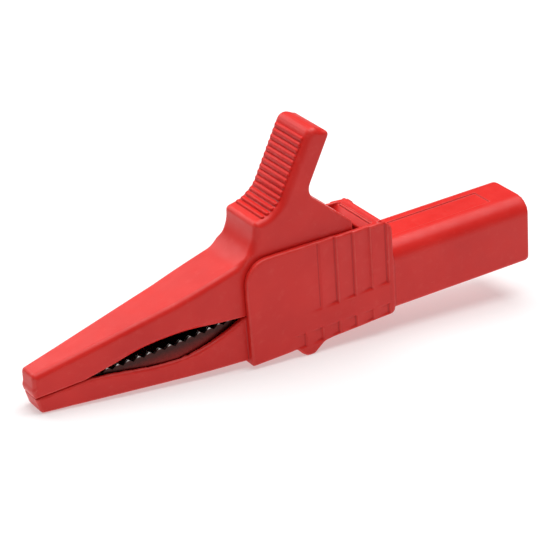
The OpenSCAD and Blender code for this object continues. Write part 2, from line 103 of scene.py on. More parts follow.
# %% [markdown]
# ## Distance fields
# A field is negative inside the plastic and positive outside. Where two surfaces meet, a
# plain maximum gives a knife edge. The first two functions below give a true quarter-round
# of the stated radius instead, which is how a mould's cutter leaves the edge. A side view
# is drawn as an outline, with a radius at each corner. Tight corners get few steps, and
# arcs wider than a couple of millimetres get more, so that they don't show facets.


# %% Fields: rounded edges, hollows and outlines
def round_edge(a, b, r):
    """Inside both a and b, with the shared edge rounded to radius r."""
    return np.minimum(-r, np.maximum(a, b)) + np.hypot(np.maximum(a + r, 0), np.maximum(b + r, 0))


def fillet(a, b, r):
    """Inside a or b, with the corner between them filled to radius r."""
    return np.maximum(r, np.minimum(a, b)) - np.hypot(np.maximum(r - a, 0), np.maximum(r - b, 0))


def ease(t):
    """0 below 0, 1 above 1, smooth between."""
    t = np.clip(t, 0, 1)
    return t * t * (3 - 2 * t)


STRAIGHT_HALF_ANGLE = 1.55
MOST_OF_A_SIDE = 0.8
WIDE_ARC_R = 2.1
FEW_STEPS = 5
MANY_STEPS = 16


def outline(corners):
    """A closed outline from corners (x, z, radius), each replaced by an arc."""
    corners = [c for c, d in zip(corners, corners[1:] + corners[:1]) if math.dist(c[:2], d[:2]) > 1e-6]
    points = [np.array(c[:2], float) for c in corners]
    out = []
    for i, (x, z, r) in enumerate(corners):
        here = points[i]
        back = points[i - 1] - here
        ahead = points[(i + 1) % len(points)] - here
        reach = (np.linalg.norm(back), np.linalg.norm(ahead))
        back, ahead = back / reach[0], ahead / reach[1]
        half = math.acos(np.clip(back @ ahead, -1, 1)) / 2
        if r <= 0 or half > STRAIGHT_HALF_ANGLE:
            out.append(here)
            continue
        cut = min(r / math.tan(half), MOST_OF_A_SIDE * reach[0], MOST_OF_A_SIDE * reach[1])
        r = cut * math.tan(half)
        middle = back + ahead
        centre = here + middle / np.linalg.norm(middle) * r / math.sin(half)
        start, end = here + back * cut - centre, here + ahead * cut - centre
        a0 = math.atan2(start[1], start[0])
        turn = math.atan2(end[1], end[0]) - a0
        turn = (turn + math.pi) % (2 * math.pi) - math.pi
        steps = FEW_STEPS if r < WIDE_ARC_R else MANY_STEPS
        for k in range(steps + 1):
            a = a0 + turn * k / steps
            out.append(centre + r * np.array([math.cos(a), math.sin(a)]))
    return np.array(out)


def inside_outline(x, z, points):
    """Signed distance to a closed outline in the X-Z plane."""
    x, z = np.broadcast_arrays(x, z)
    nearest = np.full(x.shape, 1e9, np.float32)
    within = np.zeros(x.shape, bool)
    for (ax, az), (bx, bz) in zip(points, np.roll(points, -1, axis=0)):
        ex, ez = bx - ax, bz - az
        wx, wz = x - ax, z - az
        t = np.clip((wx * ex + wz * ez) / (ex * ex + ez * ez + 1e-12), 0, 1)
        nearest = np.minimum(nearest, (wx - ex * t) ** 2 + (wz - ez * t) ** 2)
        if ez != 0:
            within ^= ((az <= z) != (bz <= z)) & (wx < wz * (ex / ez))
    far = np.sqrt(nearest)
    return np.where(within, -far, far)


def path_distance(x, z, points):
    """Distance to an open line in the X-Z plane."""
    x, z = np.broadcast_arrays(x, z)
    nearest = np.full(x.shape, 1e9, np.float32)
    for (ax, az), (bx, bz) in zip(points[:-1], points[1:]):
        ex, ez = bx - ax, bz - az
        t = np.clip(((x - ax) * ex + (z - az) * ez) / (ex * ex + ez * ez), 0, 1)
        nearest = np.minimum(nearest, (x - ax - ex * t) ** 2 + (z - az - ez * t) ** 2)
    return np.sqrt(nearest)


# %% [markdown]
# ## Laying a net on a field
# The box round the field is cut into small cells. Every cell that the skin passes through
# gets one point, and neighbouring points are joined into four-sided faces. The points then
# slide onto the skin exactly. The field's own slope gives the shading normals, and its
# bend tells the material where the edges are. A Remesh modifier could lay such a net too,
# but it would lose both of those.


# %% Nets
def lay_net(field, low, high, cell):
    """Points and faces of the skin where the field is zero."""
    count = np.ceil((np.array(high) - np.array(low)) / cell).astype(int) + 1
    axes = [low[i] + cell * np.arange(count[i]) for i in range(3)]
    grid = np.meshgrid(*axes, indexing="ij", sparse=True)
    value = np.broadcast_to(field(*grid), count).astype(np.float32)
    inner = value < 0
    cells = tuple(count - 1)
    total = np.zeros((int(np.prod(cells)), 3))
    hits = np.zeros(int(np.prod(cells)))
    quads = []
    for axis in range(3):
        u, v = (axis + 1) % 3, (axis + 2) % 3
        first, second = [slice(None)] * 3, [slice(None)] * 3
        first[axis], second[axis] = slice(0, -1), slice(1, None)
        first, second = tuple(first), tuple(second)
        crossed = inner[first] != inner[second]
        index = np.argwhere(crossed)
        a, b = value[first][crossed], value[second][crossed]
        place = index.astype(float)
        place[:, axis] += a / (a - b)
        ring = []
        for du, dv in ((1, 1), (0, 1), (0, 0), (1, 0)):
            at = index.copy()
            at[:, u] -= du
            at[:, v] -= dv
            flat = np.ravel_multi_index(at.T, cells)
            ring.append(flat)
            hits += np.bincount(flat, minlength=len(hits))
            for k in range(3):
                total[:, k] += np.bincount(flat, place[:, k], minlength=len(hits))
        ring = np.array(ring).T
        leaving = inner[first][crossed]
        ring[~leaving] = ring[~leaving][:, ::-1]
        quads.append(ring)
    quads = np.concatenate(quads)
    used = np.flatnonzero(hits)
    number = np.zeros(len(hits), int)
    number[used] = np.arange(len(used))
    points = np.array(low) + cell * total[used] / hits[used][:, None]
    return points, number[quads]


def slope_of(field, p, h):
    """Slope and bend of the field at the points p."""
    slope = np.zeros_like(p)
    here = field(p[:, 0], p[:, 1], p[:, 2])
    bend = -6.0 * here
    for k in range(3):
        step = np.zeros(3)
        step[k] = h
        up, down = field(*(p + step).T), field(*(p - step).T)
        slope[:, k] = (up - down) / (2 * h)
        bend = bend + up + down
    return here, slope, bend / (h * h)


FINE_PROBE = 0.04
EDGE_PROBE = 0.15
NORMAL_PROBE = 0.12
STEEP_ENOUGH = 0.25
EVEN_OUT = 0.5
EDGE_HOLD = 0.8
MOST_BEND = 4


def slide_onto(field, points, quads, cell):
    """Slides the points onto the skin, and evens them out along it once."""
    def settle(p, rounds):
        """Moves the points down the field's slope, by half a cell at most each time."""
        for _ in range(rounds):
            here, slope, _bend = slope_of(field, p, FINE_PROBE)
            size = np.maximum((slope ** 2).sum(1), STEEP_ENOUGH)
            move = -(here / size)[:, None] * slope
            far = np.linalg.norm(move, axis=1, keepdims=True)
            p = p + move * np.minimum(1, 0.5 * cell / np.maximum(far, 1e-9))
        return p

    p = settle(points, 1)
    middle, share = np.zeros_like(p), np.zeros(len(p))
    for a, b in ((0, 1), (1, 2), (2, 3), (3, 0)):
        for s, t in ((a, b), (b, a)):
            share += np.bincount(quads[:, s], minlength=len(p))
            for k in range(3):
                middle[:, k] += np.bincount(quads[:, s], p[quads[:, t], k], minlength=len(p))
    middle /= share[:, None]
    _here, slope, bend = slope_of(field, p, EDGE_PROBE)
    normal = slope / np.maximum(np.linalg.norm(slope, axis=1, keepdims=True), 1e-9)
    drift = middle - p
    drift -= (drift * normal).sum(1)[:, None] * normal
    keep = np.exp(-np.abs(bend) * EDGE_HOLD)[:, None]
    p = settle(p + EVEN_OUT * drift * keep, 2)
    _here, slope, bend = slope_of(field, p, NORMAL_PROBE)
    normal = slope / np.maximum(np.linalg.norm(slope, axis=1, keepdims=True), 1e-9)
    return p, normal, bend


def mesh_object(name, points, faces, material):
    """A smooth-shaded object from points in millimetres."""
    mesh = bpy.data.meshes.new(name)
    mesh.from_pydata((np.asarray(points) * MM).tolist(), [], [list(map(int, f)) for f in faces])
    mesh.shade_smooth()
    mesh.materials.append(material)
    piece = bpy.data.objects.new(name, mesh)
    bpy.context.scene.collection.objects.link(piece)
    return piece


def moulding(name, field, low, high, cell, material):
    """A plastic moulding: net, shading normals and an edge map from its field."""
    points, quads = lay_net(field, low, high, cell)
    points, normal, bend = slide_onto(field, points, quads, cell)
    piece = mesh_object(name, points, quads, material)
    edge = piece.data.attributes.new("edge", "FLOAT", "POINT")
    edge.data.foreach_set("value", np.clip(bend, -MOST_BEND, MOST_BEND).astype(np.float32))
    piece.data.normals_split_custom_set_from_vertices(normal.tolist())
    print(name, "points", len(points), "faces", len(quads))
    return piece


# %% [markdown]
# ## Finishes
# The red plastic is a saturated, satin injection moulding. The mould was spark eroded, so
# the skin has a fine grain, and handling has rubbed the edges lighter and smoother. A few
# soft patches in the colour come from the flow of the plastic and from dust. A painted
# picture could show all this, but noise needs no unwrapping and has no seams.


# %% Material helpers
class Finish:
    """A material with its nodes and a few shorthand makers."""

    def __init__(self, name):
        self.material = bpy.data.materials.new(name)
        self.material.use_nodes = True
        self.tree = self.material.node_tree
        self.shader = self.tree.nodes["Principled BSDF"]
        self.place = self.tree.nodes.new("ShaderNodeTexCoord").outputs["Object"]

    def node(self, kind, **settings):
        """A new node with its settings."""
        made = self.tree.nodes.new(kind)
        for key, value in settings.items():
            setattr(made, key, value)
        return made

    def feed(self, socket, value):
        """Links a socket to the value, or sets the value on it."""
        if isinstance(value, bpy.types.NodeSocket):
            self.tree.links.new(value, socket)
        else:
            socket.default_value = value

    def noise(self, scale, detail=2.0, rough=0.5, stretch=None):
        """Noise in the piece's own metres, drawn out by stretch."""
        place = self.place
        if stretch:
            turn = self.node("ShaderNodeMapping")
            self.feed(turn.inputs["Vector"], place)
            turn.inputs["Scale"].default_value = stretch
            place = turn.outputs["Vector"]
        made = self.node("ShaderNodeTexNoise")
        self.feed(made.inputs["Vector"], place)
        made.inputs["Scale"].default_value = scale
        made.inputs["Detail"].default_value = detail
        made.inputs["Roughness"].default_value = rough
        return made.outputs["Fac"]

    def fit(self, value, low, high, to_low, to_high):
        """The range low to high stretched to another range."""
        made = self.node("ShaderNodeMapRange")
        self.feed(made.inputs["Value"], value)
        ends = {"From Min": low, "From Max": high, "To Min": to_low, "To Max": to_high}
        for key, number in ends.items():
            made.inputs[key].default_value = number
        return made.outputs["Result"]

    def blend(self, amount, a, b):
        """A mix of two colours, a where amount is 0 and b where it is 1."""
        made = self.node("ShaderNodeMix", data_type="RGBA")
        self.feed(made.inputs[0], amount)
        for socket, value in zip(made.inputs[6:8], (a, b)):
            self.feed(socket, value if isinstance(value, bpy.types.NodeSocket) else (*value, 1))
        return made.outputs[2]

    def math(self, operation, a, b):
        """One step of arithmetic on two values."""
        made = self.node("ShaderNodeMath", operation=operation)
        self.feed(made.inputs[0], a)
        self.feed(made.inputs[1], b)
        return made.outputs[0]

    def bump(self, height, strength, distance, below=None):
        """Fine relief that only the light sees, on top of another relief."""
        made = self.node("ShaderNodeBump")
        made.inputs["Strength"].default_value = strength
        made.inputs["Distance"].default_value = distance
        self.feed(made.inputs["Height"], height)
        if below:
            self.feed(made.inputs["Normal"], below)
        return made.outputs["Normal"]


def red_plastic(name, mapped):
    """Satin red plastic. A mapped piece carries its own edge map, which lightens its worn edges and paints
    shade into its creases.
    """
    f = Finish(name)
    flow = f.fit(f.noise(110.0, 3.0), 0.3, 0.7, 0.0, 1.0)
    colour = f.blend(flow, (0.68, 0.017, 0.013), (0.76, 0.024, 0.018))
    dust = f.fit(f.noise(700.0, 4.0, 0.6), 0.56, 0.80, 0.0, 0.16)
    colour = f.blend(dust, colour, (0.86, 0.12, 0.10))
    rough = f.fit(f.noise(420.0, 3.0), 0.3, 0.7, 0.34, 0.46)
    if mapped:
        edge = f.node("ShaderNodeAttribute", attribute_name="edge").outputs["Fac"]
        broken = f.fit(f.noise(900.0, 3.0), 0.30, 0.65, 0.35, 1.0)
        worn = f.math("MULTIPLY", f.fit(edge, 0.9, 3.6, 0.0, 0.30), broken)
        colour = f.blend(worn, colour, (0.95, 0.19, 0.16))
        # Creases and hollows are painted a darker red: painted shade where less light reaches.
        hollow = f.fit(edge, -0.6, -3.5, 0.0, 0.45)
        colour = f.blend(hollow, colour, (0.34, 0.008, 0.008))
        rough = f.math("SUBTRACT", rough, f.math("MULTIPLY", worn, 0.12))
    scratch = f.fit(f.noise(260.0, 5.0, 0.75, (1.0, 3.0, 9.0)), 0.66, 0.74, 0.0, 0.22)
    colour = f.blend(scratch, colour, (0.92, 0.22, 0.19))
    f.feed(f.shader.inputs["Base Color"], colour)
    f.feed(f.shader.inputs["Roughness"], rough)
    f.shader.inputs["Specular IOR Level"].default_value = 0.32 if mapped else 0.18
    grain = f.bump(f.noise(5200.0, 2.0), 0.35, 0.00002)
    waves = f.bump(f.noise(330.0, 2.0), 0.25, 0.00012, grain)
    f.feed(f.shader.inputs["Normal"], waves)
    return f.material


def metal(name, bright, dull, rough=(0.22, 0.40), stretch=(1.0, 1.0, 1.0), grime=(0.16, 0.13, 0.10)):
    """Plated or bare metal with a brushed grain, cloudy plating and grime in patches."""
    f = Finish(name)
    cloud = f.fit(f.noise(260.0, 4.0), 0.3, 0.7, 0.0, 1.0)
    colour = f.blend(cloud, bright, dull)
    grime_and_painted_shade = f.fit(f.noise(520.0, 5.0, 0.65), 0.56, 0.76, 0.0, 0.45)
    colour = f.blend(grime_and_painted_shade, colour, grime)
    brushed = f.noise(2600.0, 3.0, 0.6, stretch)
    f.feed(f.shader.inputs["Base Color"], colour)
    f.shader.inputs["Metallic"].default_value = 1.0
    f.feed(f.shader.inputs["Roughness"], f.fit(brushed, 0.3, 0.7, *rough))
    f.feed(f.shader.inputs["Normal"], f.bump(brushed, 0.3, 0.00002))
    return f.material


PARTING_NOSE_Z = -1.85
PARTING_RISE = 3.35


def toothed_nickel(name):
    """Plated sheet, plain bright nickel above the jaws' parting line and painted shade below it, turning
    dark red lower down as a painted reflection of the red jaws.
    """
    f = Finish(name)
    split = f.node("ShaderNodeSeparateXYZ")
    f.feed(split.inputs[0], f.place)
    rise = PARTING_RISE / (GRIP_FRONT_X - NOSE_X)
    line = f.math("MULTIPLY_ADD", split.outputs["X"], rise)
    line.node.inputs[2].default_value = (PARTING_NOSE_Z - rise * NOSE_X) * MM
    above = f.math("SUBTRACT", split.outputs["Z"], line)
    broken = f.math("ADD", above, f.fit(f.noise(1500.0, 3.0), 0.3, 0.7, -0.00012, 0.00012))
    tip = f.fit(broken, 0.00002, 0.0003, 0.0, 1.0)
    # Below the line the plate is painted shade, near black under the tips and dark red further down, a
    # painted reflection of the red plastic round it.
    low = f.fit(broken, -0.0006, -0.0026, 0.0, 1.0)
    grime_and_painted_shade = f.blend(low, (0.055, 0.024, 0.022), (0.21, 0.022, 0.020))
    colour = f.blend(tip, grime_and_painted_shade, (0.72, 0.70, 0.68))
    f.feed(f.shader.inputs["Base Color"], colour)
    f.shader.inputs["Metallic"].default_value = 1.0
    f.feed(f.shader.inputs["Roughness"], f.fit(f.noise(2200.0, 3.0), 0.3, 0.7, 0.24, 0.44))
    f.feed(f.shader.inputs["Normal"], f.bump(f.noise(2600.0, 3.0), 0.4, 0.00003))
    return f.material


red = red_plastic("red moulded plastic", True)
plain_red = red_plastic("red moulded plastic, small parts", False)
# The moving plate's nickel is darker than clean plating: painted shade, as the plate lies in the shade
# inside the mouth.
nickel = metal("nickel plated steel", (0.40, 0.38, 0.37), (0.22, 0.20, 0.20), (0.26, 0.42),
               stretch=(0.2, 1.0, 1.0), grime=(0.06, 0.04, 0.04))
pin_steel = metal("ground steel", (0.68, 0.68, 0.69), (0.52, 0.52, 0.53), (0.16, 0.30),
                  stretch=(1.0, 0.1, 1.0))
spring_steel = metal("spring steel", (0.42, 0.41, 0.40), (0.28, 0.27, 0.27), (0.28, 0.45))
brass = metal("nickel plated brass", (0.80, 0.77, 0.70), (0.66, 0.62, 0.55), (0.15, 0.30),
              stretch=(0.1, 1.0, 1.0))
zinc = metal("zinc plated steel", (0.66, 0.68, 0.72), (0.50, 0.52, 0.56), (0.24, 0.42))
print("finishes:", [m.name for m in (red, plain_red, nickel, pin_steel, spring_steel, brass, zinc)])

# %% [markdown]
# ## The body moulding
# Lower jaw, cheeks, stop wall and barrel come out of one mould. Its side view is drawn as
# outlines with a radius at the corners: the cheeks with the finger rest below them, the
# jaw, the hollow between the cheeks, the stop wall's top, and the trough for the toothed
# plate. Both jaws share a few lines, so those come first.


# %% Jaws: the lines that both mouldings share
UNDER_NOSE_Z = -4.55
UNDER_DROP = 2.05
PARTING_GAP = 0.1
JAW_NOSE_HALF = 2.25
JAW_TAPER = 0.0935
JAW_BLEND = 0.25
TROUGH_NOSE_HALF = 2.4
TROUGH_TAPER_LEN = 25.0


def parting_z(x):
    """Height of the line where the two jaws meet."""
    return PARTING_NOSE_Z + PARTING_RISE * (x - NOSE_X) / (GRIP_FRONT_X - NOSE_X)


def under_z(x):
    """Height of the lower jaw's underside."""
    return UNDER_NOSE_Z - UNDER_DROP * (x - NOSE_X) / (GRIP_FRONT_X - NOSE_X)


def mouth(x, lag=1.0):
    """Bulge of the mouth, none at its ends and 1 in the middle, or further back with a lag."""
    t = (x - MOUTH_X) / (GRIP_FRONT_X - MOUTH_X)
    return math.sin(math.pi * t ** lag) if 0 < t < 1 else 0.0


def jaw_half(x):
    """Half width of the tapered jaws, which eases into the straight stretch."""
    taper = JAW_NOSE_HALF + JAW_TAPER * (x - NOSE_X)
    straight = FLANK + 0.05
    return np.minimum(0.5 * (taper + straight - np.sqrt((taper - straight) ** 2 + JAW_BLEND)), FLANK)


def inner_half(x):
    """Half width of the room inside the jaws, where the toothed plates lie."""
    widening = np.clip((x - NOSE_X) / TROUGH_TAPER_LEN, 0, 1)
    return TROUGH_NOSE_HALF - JAW_WALL + (FLANK - TROUGH_NOSE_HALF) * widening


# %% Body moulding: outlines
MOUTH_FALL = 2.6
MOUTH_LAG = 1.35
NOSE_BEVEL = 1.15
OPEN_Z = 40.0
mouth_xs = np.linspace(MOUTH_X, GRIP_FRONT_X, 22)
finger_rest = [
    (-46.7, -7.05, 1.0),
    (-45.5, -6.98, 0.5),
    (-44.5, -8.1, 1.0),
    (-43.6, -8.76, 1.2),
    (-42.2, -8.76, 1.2),
    (-41.2, -7.95, 1.5),
    (-40.1, -7.1, 2.0),
    (-38.0, -6.95, 2.0),
]
cheek_top = [
    (GRIP_REAR_X, 10.65, 2.8),
    (-28.5, 10.75, 1.0),
    (-38.0, 11.05, 0.0),
    (-48.0, 11.3, 0.0),
    (GRIP_FRONT_X, 11.3, 4.2),
]
cheek_side = outline(
    [(GRIP_FRONT_X, -7.2, 0.4)] + finger_rest + [(GRIP_REAR_X, -6.5, 1.0)] + cheek_top
    + [(GRIP_FRONT_X - 0.12, 5.5, 2.0)])
mouth_rim = [(x, parting_z(x) - MOUTH_FALL * mouth(x, MOUTH_LAG), 0.0) for x in mouth_xs[::-1]]
jaw_side = outline(
    [(NOSE_X + NOSE_BEVEL, under_z(NOSE_X), 0.5), (WEB_X + 1.0, under_z(GRIP_FRONT_X), 0.0),
     (WEB_X + 1.0, 1.5, 0.0), (GRIP_FRONT_X, 1.5, 0.0)]
    + mouth_rim + [(NOSE_X + 0.45, parting_z(NOSE_X), 0.15)])
grip_hollow = outline([
    (WEB_X, FLOOR_Z, 0.4), (STOP_X, FLOOR_Z, 0.4), (STOP_X, 6.6, 0.4), (STOP_X, OPEN_Z, 0.0),
    (GRIP_FRONT_X - 2.0, OPEN_Z, 0.0), (GRIP_FRONT_X - 2.0, 1.5, 0.0), (WEB_X, 1.5, 0.1)])
stop_top = outline([
    (STOP_X + 0.3, 6.4, 0.0), (STOP_X, 6.6, 0.0), (STOP_X - 0.75, 7.9, 0.3), (STOP_X - 1.25, 9.35, 0.3),
    (STOP_X - 0.1, 10.55, 0.5), (STOP_X + 1.55, 11.2, 0.35), (STOP_X + 1.75, 10.2, 0.0),
    (STOP_X + 1.75, 6.4, 0.0)])
jaw_trough = outline([
    (NOSE_X + JAW_WALL, under_z(NOSE_X) + ROOF, 0.3), (GRIP_FRONT_X, FLOOR_Z, 1.0),
    (WEB_X + 1.0, FLOOR_Z, 0.0), (WEB_X + 1.0, OPEN_Z, 0.0), (NOSE_X + JAW_WALL, OPEN_Z, 0.0)])
print("side view corners:", len(cheek_side), len(jaw_side), len(grip_hollow), len(stop_top))

# %% [markdown]
# ## Scallops in the cheeks
# The cheeks carry shallow scallops across their height, for the fingers to hold. Each one
# sinks slowly towards the rear and ends in a short step, so the fingers don't slip. They
# stop short of a plain belt and start again below it. They could be cut by booleans, but as
# a depth that varies over the face they can fade out softly, as a cutter leaves them.

# %% Scallops
SCALLOP_PITCH = 3.32
SCALLOP_DEPTH = 0.36
SCALLOP_STEP = 0.32
FIRST_SCALLOP_X = -27.4
UPPER_END_Z = -0.45
UPPER_END_DROP = 0.12
LOWER_TOP_Z = -4.4
LOWER_SHARE = 0.9
LAST_UPPER = 4
LAST_LOWER = 5
SINK_CURVE = 1.3
FADE = 0.55
FADE_LEAD = 0.3
RIM_X = 38.0
RIM_Z = -6.85
RIM_SLOPE = 0.038
RIM_FADE = 0.5


def scallop(x, z):
    """Depth of the scallops in the cheeks' outer faces."""
    run = (FIRST_SCALLOP_X + SCALLOP_STEP - x) / SCALLOP_PITCH
    number = np.floor(run)
    along = 1 - (run - number)
    step = SCALLOP_STEP / SCALLOP_PITCH
    sink = np.clip(along, 0, 1 - step) / (1 - step)
    rise = np.clip((1 - along) / step, 0, 1)
    deep = SCALLOP_DEPTH * sink ** SINK_CURVE * rise
    upper_end = UPPER_END_Z - UPPER_END_DROP * number
    upper = ease((z - upper_end + FADE_LEAD) / FADE) * ((number >= 0) & (number <= LAST_UPPER))
    upper = upper * np.where(number == LAST_UPPER, 0.5, 1.0)
    rim = RIM_Z + RIM_SLOPE * (x + RIM_X)
    lower = ease((LOWER_TOP_Z - z + FADE_LEAD) / FADE) * ease((z - rim) / RIM_FADE)
    lower = lower * ((number >= 0) & (number <= LAST_LOWER)) * LOWER_SHARE
    return deep * (upper + lower)


# %% [markdown]
# The socket's recess and the screw's tunnel are cored out of the barrel from both ends. The
# outer skin and the mouth of the recess are rounded, the other cores are sharp, and the
# barrel's top has a shallow sunk panel, where a mould often has an insert.


# %% Body moulding: edge radii, and sizes of the barrel and its bores
CHEEK_EDGE = 0.38
HOLLOW_EDGE = 0.3
JAW_PLAN_R = 0.7
JAW_EDGE = 0.45
LIP_EDGE = 0.27
BARREL_HALF_Y = 5.9
BARREL_HALF_Z = 5.75
BARREL_TOP_R = 3.1
PANEL_HALF = 2.2
PANEL_Z = 5.57
PANEL_REAR_X = REAR_X - 5.6
RECESS_R = 4.3
RECESS_DEPTH = 24.0
SEAT_R = 2.5
SEAT_FROM = 23.0
SEAT_TO = 27.8
TUNNEL_R = 3.6
TUNNEL_FROM = 27.5
TAIL_WAY_HALF = 3.2
TAIL_WAY_X = 28.0
TAIL_WAY_Z = 3.0
PIN_PLAY = 0.02


# %% Body moulding: field
def barrel_field(x, w, z):
    """The square barrel with its rounded top and the shallow panel on it."""
    top = round_edge(w - BARREL_HALF_Y, z - BARREL_HALF_Z, BARREL_TOP_R)
    low = round_edge(w - BARREL_HALF_Y, round_edge(-z - BARREL_HALF_Z, x - REAR_X, 1.0), 0.6)
    barrel = round_edge(np.maximum(top, low), x - REAR_X, 0.4)
    panel = np.maximum(np.maximum(w - PANEL_HALF, x - PANEL_REAR_X), PANEL_Z - z)
    barrel = round_edge(barrel, -panel, 0.06)
    return np.maximum(barrel, GRIP_REAR_X - 1.0 - x)


def body_field(x, y, z):
    """The whole body moulding. Both sides are alike, so w is the distance from the middle."""
    w = np.abs(y)
    barrel = barrel_field(x, w, z)
    face = w - (GRIP_HALF - scallop(x, z))
    cheeks = round_edge(inside_outline(x, z, cheek_side), face, CHEEK_EDGE)
    hollow = round_edge(inside_outline(x, z, grip_hollow), w - CHEEK_IN, HOLLOW_EDGE)
    plan = round_edge(w - jaw_half(x), NOSE_X - x, JAW_PLAN_R)
    along = np.clip((x - MOUTH_X) / (GRIP_FRONT_X - MOUTH_X), 0, 1)
    lip = np.sin(math.pi * along) * ease((z - parting_z(x) + 3.6) / 1.0)
    jaw = round_edge(inside_outline(x, z, jaw_side), plan, JAW_EDGE + LIP_EDGE * lip)
    trough = np.maximum(inside_outline(x, z, jaw_trough), w - inner_half(x))
    behind = np.maximum(np.maximum(STOP_X + 1.7 - x, 5.6 - z), w - CHEEK_IN + 0.2)
    groove = np.maximum(np.abs(x - STOP_X - 0.05) - 0.11, np.maximum(10.4 - z, w - 4.7))
    cheeks = round_edge(cheeks, -np.minimum(hollow, behind), 0.2)
    stop = round_edge(inside_outline(x, z, stop_top), w - CHEEK_IN - 0.35, 0.25)
    cheeks = np.maximum(fillet(cheeks, stop, 0.12), -groove)
    jaw = np.maximum(jaw, -hollow)
    solid = fillet(np.minimum(cheeks, jaw), barrel, 0.25)
    solid = round_edge(solid, -trough, 0.15)
    radius = np.hypot(y, z)
    recess = np.maximum(radius - RECESS_R, REAR_X - RECESS_DEPTH - x)
    solid = round_edge(solid, -recess, 0.25)
    seat = np.maximum(radius - SEAT_R, np.maximum(REAR_X - SEAT_TO - x, x - REAR_X + SEAT_FROM))
    tunnel = np.maximum(radius - TUNNEL_R, np.maximum(STOP_X - 1.0 - x, x - REAR_X + TUNNEL_FROM))
    tail_way = np.maximum(w - TAIL_WAY_HALF, np.abs(z + TAIL_WAY_Z) - 0.75)
    tail_way = np.maximum(tail_way, np.abs(x + TAIL_WAY_X) - 2.0)
    solid = np.maximum(solid, -np.minimum(np.minimum(seat, tunnel), tail_way))
    pivot = np.hypot(x - PIVOT_X, z - PIVOT_Z)
    pin_seats = np.maximum(pivot - PIN_R - PIN_PLAY, w - pin_high[1] - PIN_PLAY)
    return np.maximum(solid, -pin_seats)


# %% Body moulding: net
BODY_CELL = 0.31
BODY_TOP_Z = 11.4
margin = 2.5 * BODY_CELL
body_corner = np.array([REAR_X, GRIP_HALF, BODY_TOP_Z])
body_moulding = moulding("body_moulding", body_field, body_low - margin, body_corner + margin,
                         BODY_CELL, red)
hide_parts("body_shell")
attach(body_moulding, "housing")

# %% [markdown]
# ## The lever moulding
# The upper jaw and the thumb tab are one moulding too. The thumb face runs from a blunt lip
# through a scoop and straight up to the squared tip. Its edges are very soft where the
# thumb lies, and tighter along the rear. It is a field like the body, with an edge radius
# that grows towards the thumb face, which a bevel of one width could not do.

# %% Lever moulding: outline
LEAN = math.radians(62.4)
UP = np.array([math.cos(LEAN), math.sin(LEAN)])
ACROSS = np.array([math.sin(LEAN), -math.cos(LEAN)])
TAB_T = 3.85
TAB_REAR_LEN = 10.7
TIP_R = 1.6
FACE_X = -40.8
FACE_Z = 29.0
MOUTH_RISE = 1.65
tip_front_z = TAB_TOP - 0.02 + TIP_R * (ACROSS[0] - ACROSS[1] - 1)
tip_front = np.array([FACE_X + (tip_front_z - FACE_Z) / math.tan(LEAN), tip_front_z])
tip_rear = tip_front + TAB_T * ACROSS
HEEL = np.array([-33.1, 12.3])
notch = tip_rear - UP * TAB_REAR_LEN
upper_nose = [
    (NOSE_X + 0.4, parting_z(NOSE_X) + PARTING_GAP, 0.15),
    (NOSE_X, -0.6, 1.0),
    (NOSE_X + 0.05, 2.15, 0.9),
]
jaw_back = [(-84.0, 3.7, 0.0), (-66.0, 7.7, 20.0), (-51.3, 11.75, 6.5)]
thumb_face = [(-51.2, 17.0, 0.9), (-48.3, 17.55, 4.0), (-45.9, 19.3, 4.0), (*tip_front, TIP_R)]
tab_rear = [(*tip_rear, 0.7), (*notch, 2.4), (*HEEL, 0.5), (HEEL[0] + 0.2, 9.0, 0.5)]
lever_foot = [(-38.5, 1.5, 2.0), (GRIP_FRONT_X + 2.0, 1.6, 0.3), (GRIP_FRONT_X + 0.6, 1.6, 0.0)]
upper_rim = [(x, parting_z(x) + PARTING_GAP + MOUTH_RISE * mouth(x), 0.0) for x in mouth_xs[::-1]]
lever_side = outline(upper_nose + jaw_back + thumb_face + tab_rear + lever_foot + upper_rim)
print("tab's front corner, heel:", tip_front, HEEL)

# %% Lever moulding: hollows and the line of the thumb
ROOF_NOSE_Z = 1.65
ROOF_SLOPE = math.radians(13.2)
LOW_Z = -20.0
TROUGH_REAR_X = -49.0
BLOCK_FRONT_X = -50.0
BLOCK_REAR_X = -34.2


def back_z(x):
    """Height that the trough's roof is measured from."""
    return ROOF_NOSE_Z + (x - NOSE_X) * math.tan(ROOF_SLOPE)


upper_trough = outline([
    (NOSE_X + JAW_WALL, LOW_Z, 0.0), (NOSE_X + JAW_WALL, back_z(NOSE_X) - ROOF + 0.2, 0.3),
    (TROUGH_REAR_X, back_z(TROUGH_REAR_X) - ROOF, 0.0), (TROUGH_REAR_X, LOW_Z, 0.0)])
block_hollow = outline([
    (BLOCK_FRONT_X, LOW_Z, 0.0), (BLOCK_FRONT_X, 15.6, 0.8), (-46.5, 15.8, 0.8), (-41.5, 17.3, 0.8),
    (BLOCK_REAR_X, 11.7, 0.6), (BLOCK_REAR_X, LOW_Z, 0.0)])
thumb_line = np.array([
    (-51.3, 13.5), (-51.2, 16.6), (-50.6, 17.2), (-48.5, 17.6), (-47.0, 18.5), (-45.6, 20.0),
    tip_front - UP * 0.5, tip_front + ACROSS * 1.2])


# %% Lever moulding: field
EAR_R = 3.55
REAR_EDGE = 0.32
THUMB_EDGE = 0.85
JAW_TOP_EDGE = 0.8
UPPER_PLAN_R = 0.8
BLOCK_HALF = 3.9
BORE_PLAY = 0.05


